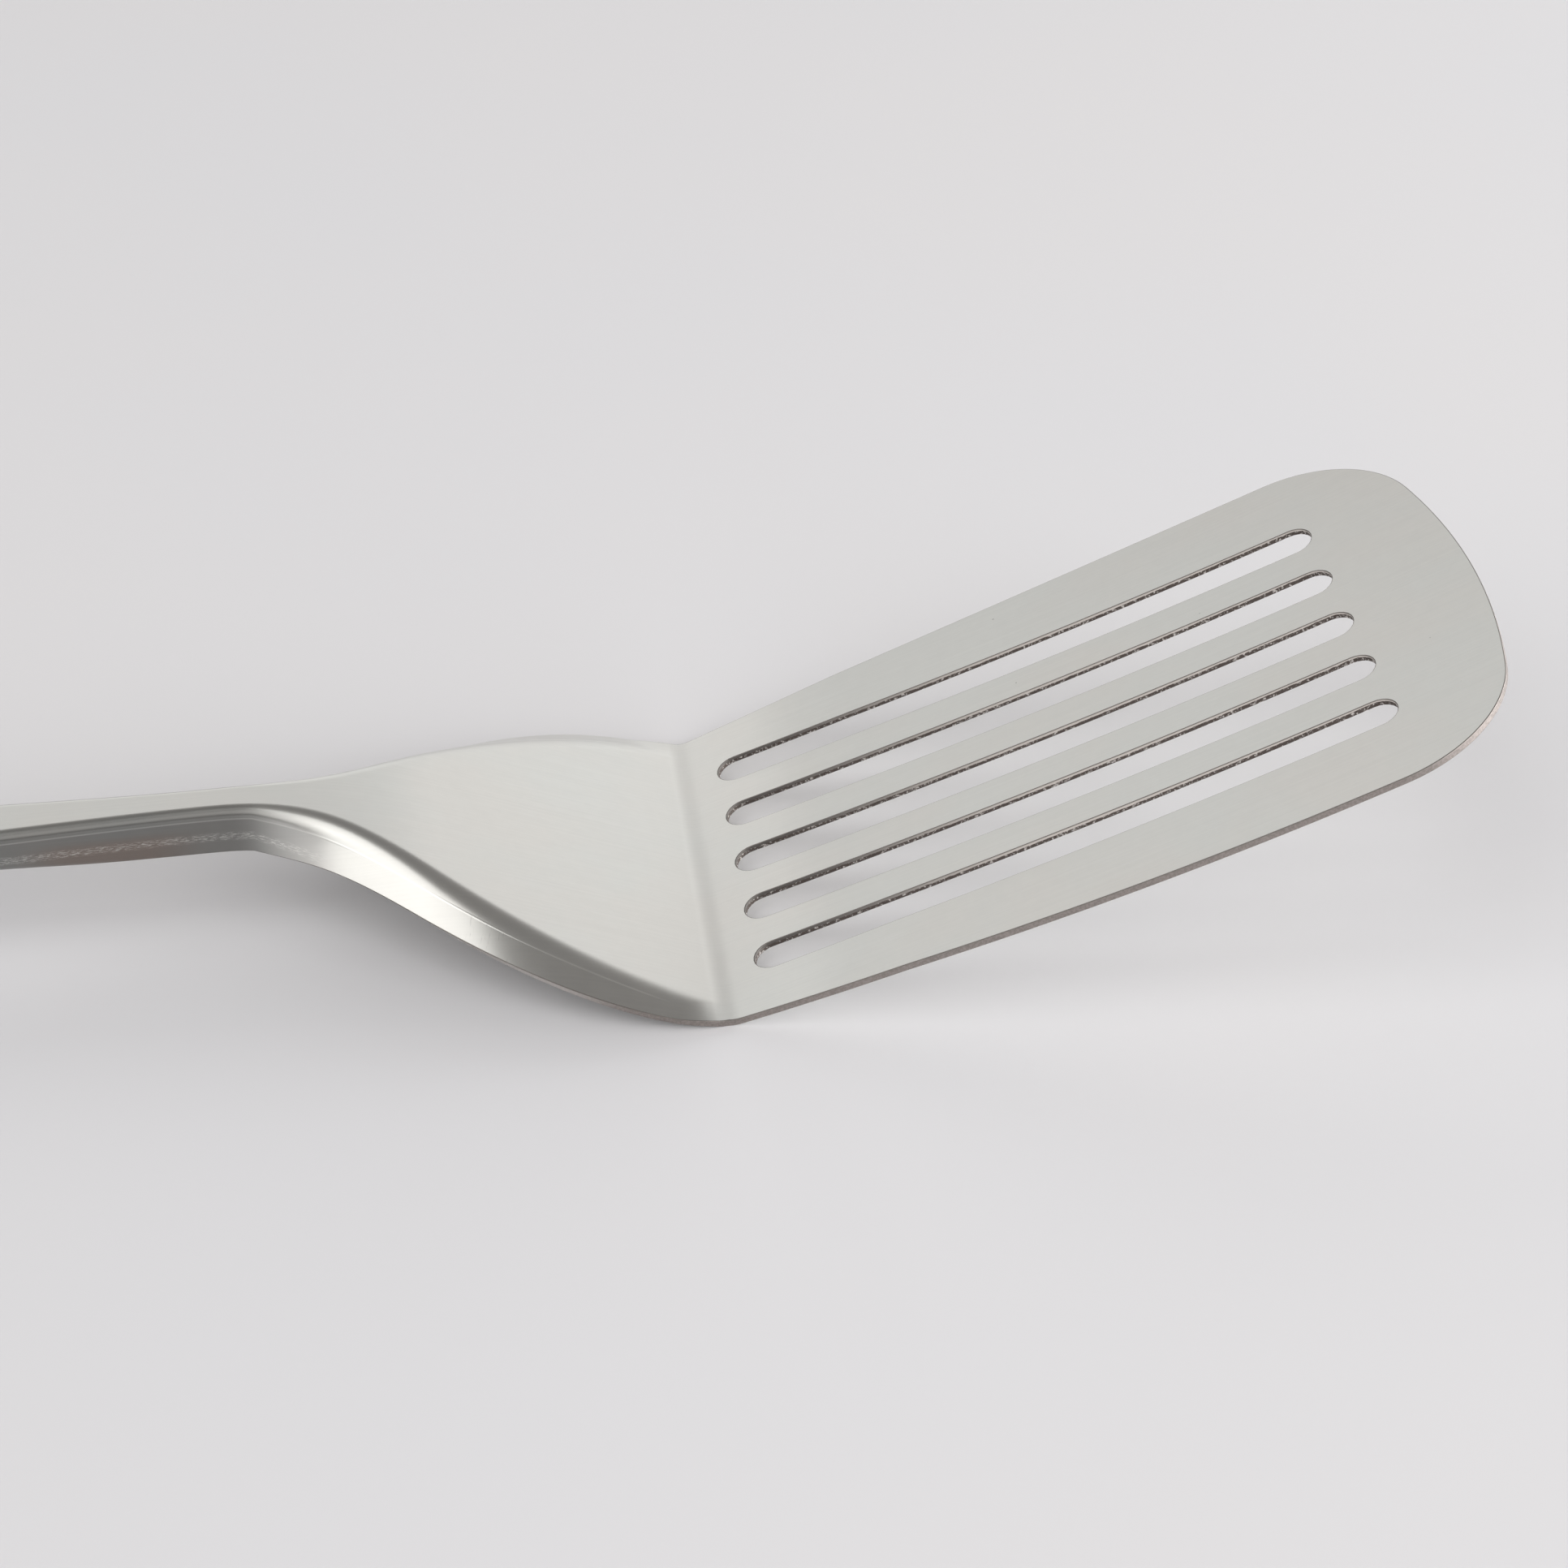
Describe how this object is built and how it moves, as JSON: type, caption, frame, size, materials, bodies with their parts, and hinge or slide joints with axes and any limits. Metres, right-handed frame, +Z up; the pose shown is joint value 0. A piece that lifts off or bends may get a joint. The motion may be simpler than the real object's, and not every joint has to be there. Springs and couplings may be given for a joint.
{
  "type": "slotted spatula",
  "caption": "Stainless slotted turner: a pressed sheet blade, shoulder and channel shank, riveted into a hollow two-shell handle with a hanging hole.",
  "frame": {"origin": "on the ground below the middle of the turner as it lies at rest on its heel and on the tail of its handle", "axes": "+X from the handle to the tip of the blade, +Y across the blade, +Z up"},
  "size_m": [0.3736, 0.0778, 0.044],
  "materials": {
    "satin_sheet": "satin, brushed along the blade",
    "satin_handle": "satin, brushed along the grip",
    "turned_trim": "turned and lightly polished",
    "mill_bar": "mill finish"
  },
  "bodies": {
    "root": {"turner_head": "satin_sheet", "handle_upper_shell": "satin_handle", "handle_lower_shell": "satin_handle", "handle_ferrule": "satin_handle", "tang_packing": "mill_bar", "front_rivet": "turned_trim", "rear_rivet": "turned_trim", "hanging_bush": "turned_trim"}
  },
  "joints": []
}
